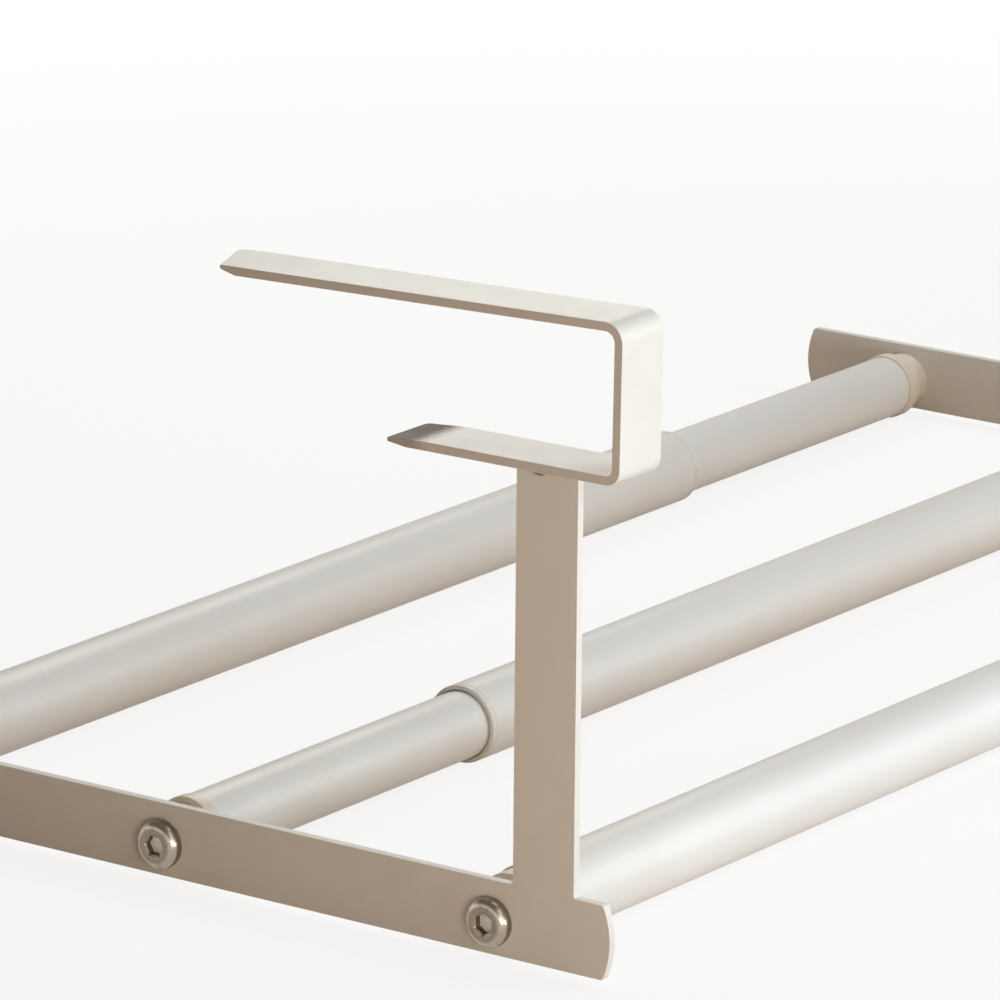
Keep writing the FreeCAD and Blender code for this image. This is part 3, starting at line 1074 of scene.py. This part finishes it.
def floor_finish():
    floor = Finish("pale_floor", Roughness=0.9, Specular_IOR_Level=0.0)
    sight = floor.node("LightPath", output="Is Camera Ray")
    floor.feed(Base_Color=blend(floor, sight, tint(226, 204, 184), tint(253, 252, 251)))
    glow = floor.node("Emission", {}, {"Color": WHITE, "Strength": 1.0})
    matt = Signal(floor, floor.shader.outputs[0])
    reach = floor.node("VectorMath", {"operation": "LENGTH"}, {0: floor.place}, output="Value")
    glowing = NEAR_GLOW + reach.rise(FADE_START, FADE_END) * (1 - NEAR_GLOW)
    share = seen_directly(floor, REFLECTED_GLOW) * glowing
    mixed = floor.node("MixShader", {}, {0: share, 1: matt, 2: glow})
    floor.plug(floor.tree.nodes["Material Output"].inputs["Surface"], mixed)
    return floor.material


floor_mesh = bmesh.new()
bmesh.ops.create_grid(floor_mesh, x_segments=2, y_segments=2, size=FLOOR_SIZE / 2)
floor_data = bpy.data.meshes.new("floor")
floor_mesh.to_mesh(floor_data)
floor_mesh.free()
floor_data.materials.append(floor_finish())
floor = add_object("floor", floor_data)
print("floor of", FLOOR_SIZE, "m")

# %% [markdown]
# ## Light
#
# A soft box at the front right, two more beside and behind it and a weaker, tall one at the
# left give an even white light that leaves the left frame's outer side in a warm half shadow.
# Two low cards fill the lower bends from the front and the left, and a small lamp close above
# the clip brightens its upper arm towards the bend. The lamps stand less than a metre away, as
# they would round a rack on a table, so the light falls off across it as it does in a studio.

# %% Soft boxes and cards
TARGET = Vector((-0.2, -0.1, 0.08))     # in the rack's left front corner, half way up


def add_lamp(name, power, towards, distance, width, height, color):
    """A rectangular lamp at a distance from the target in a given direction, facing it."""
    data = bpy.data.lights.new(name, "AREA")
    data.energy = power
    data.color = color
    data.shape = "RECTANGLE"
    data.size = width
    data.size_y = height
    lamp = add_object(name, data)
    lamp.location = TARGET + Vector(towards).normalized() * distance
    lamp.rotation_euler = Vector(towards).to_track_quat("Z", "Y").to_euler()
    lamp.visible_camera = False


add_lamp("main_box", 1.64, (0.55, -0.60, 0.60), 0.70, 0.5, 0.5, (0.98, 1.00, 0.97))
add_lamp("low_box", 2.05, (0.80, -0.80, 0.25), 0.80, 0.5, 0.5, (0.84, 0.93, 1.00))
add_lamp("back_box", 2.90, (0.60, 0.60, 0.60), 0.90, 0.5, 0.5, (1.00, 0.985, 0.935))
add_lamp("left_box", 1.02, (-0.60, -0.80, 0.55), 0.80, 0.5, 0.8, (1.00, 0.90, 0.75))
add_lamp("left_card", 0.82, (-0.60, -0.50, -0.02), 0.60, 0.3, 0.12, (1.00, 0.82, 0.64))
add_lamp("front_card", 1.00, (0.00, -0.80, -0.05), 0.55, 0.5, 0.1, (0.60, 0.81, 1.00))
add_lamp("clip_lamp", 0.055, (-0.04, -0.02, 0.245), 0.249, 0.12, 0.12, (0.95, 1.00, 0.88))
print("lamps", [item.name for item in bpy.data.lights])

# %% [markdown]
# ## Room
#
# The world stands in for the walls. It is white near the horizon, like the floor, and gets
# darker upwards as a ceiling without lamps does, which gives the screws something dark to
# reflect. Light on its way to the rack gets only a faint warm glow from it, so that the
# deepest shadows don't turn black.

# %% The room
CEILING = (0.16, 0.14, 0.12, 1)
FAINT_GLOW = (0.045, 0.022, 0.014, 1)


class Room(Finish):
    """The world's node tree, made with the same helpers."""

    def __init__(self, name):
        self.world = bpy.data.worlds.new(name)
        self.world.use_nodes = True
        self.tree = self.world.node_tree
        self.tree.nodes.clear()
        self.place = self.node("TexCoord", output="Generated")


room = Room("studio")
height = room.node("SeparateXYZ", {}, {"Vector": room.place}, output="Z")
shown = blend(room, height.rise(0.05, 0.55), WHITE, CEILING)
ambient = room.node("Background", {}, {"Color": FAINT_GLOW, "Strength": 1.0})
backdrop = room.node("Background", {}, {"Color": shown, "Strength": 1.0})
mixed = room.node("MixShader", {}, {0: seen_directly(room, 1.0), 1: ambient, 2: backdrop})
output = room.tree.nodes.new("ShaderNodeOutputWorld")
room.plug(output.inputs["Surface"], mixed)
bpy.context.scene.world = room.world
print("world", room.world.name)

# %% [markdown]
# ## Camera
#
# The rack is seen from the left and a little above, through a long lens, so its edges stay
# nearly parallel. The camera's axes are built from its heading, its fall and a slight roll.

# %% The camera
CAMERA_PLACE = (-1.96932, -1.33645, 0.71292)
LENS = 312.365              # millimetres

heading, fall, roll = (math.radians(degrees) for degrees in (54.284, 15.653, 0.516))
ahead = Vector((math.sin(heading) * math.cos(fall), math.cos(heading) * math.cos(fall),
                -math.sin(fall)))
level_right = Vector((math.cos(heading), -math.sin(heading), 0))
level_up = level_right.cross(ahead)
right = math.cos(roll) * level_right + math.sin(roll) * level_up
up = math.cos(roll) * level_up - math.sin(roll) * level_right

camera_data = bpy.data.cameras.new("camera")
camera_data.lens = LENS
camera_data.sensor_width = 36.0
camera = add_object("camera", camera_data)
turn = Matrix((right, up, -ahead)).transposed().to_4x4()
camera.matrix_world = Matrix.Translation(CAMERA_PLACE) @ turn
bpy.context.scene.camera = camera
bpy.context.scene.view_settings.view_transform = "Standard"
print("camera at", camera.location)
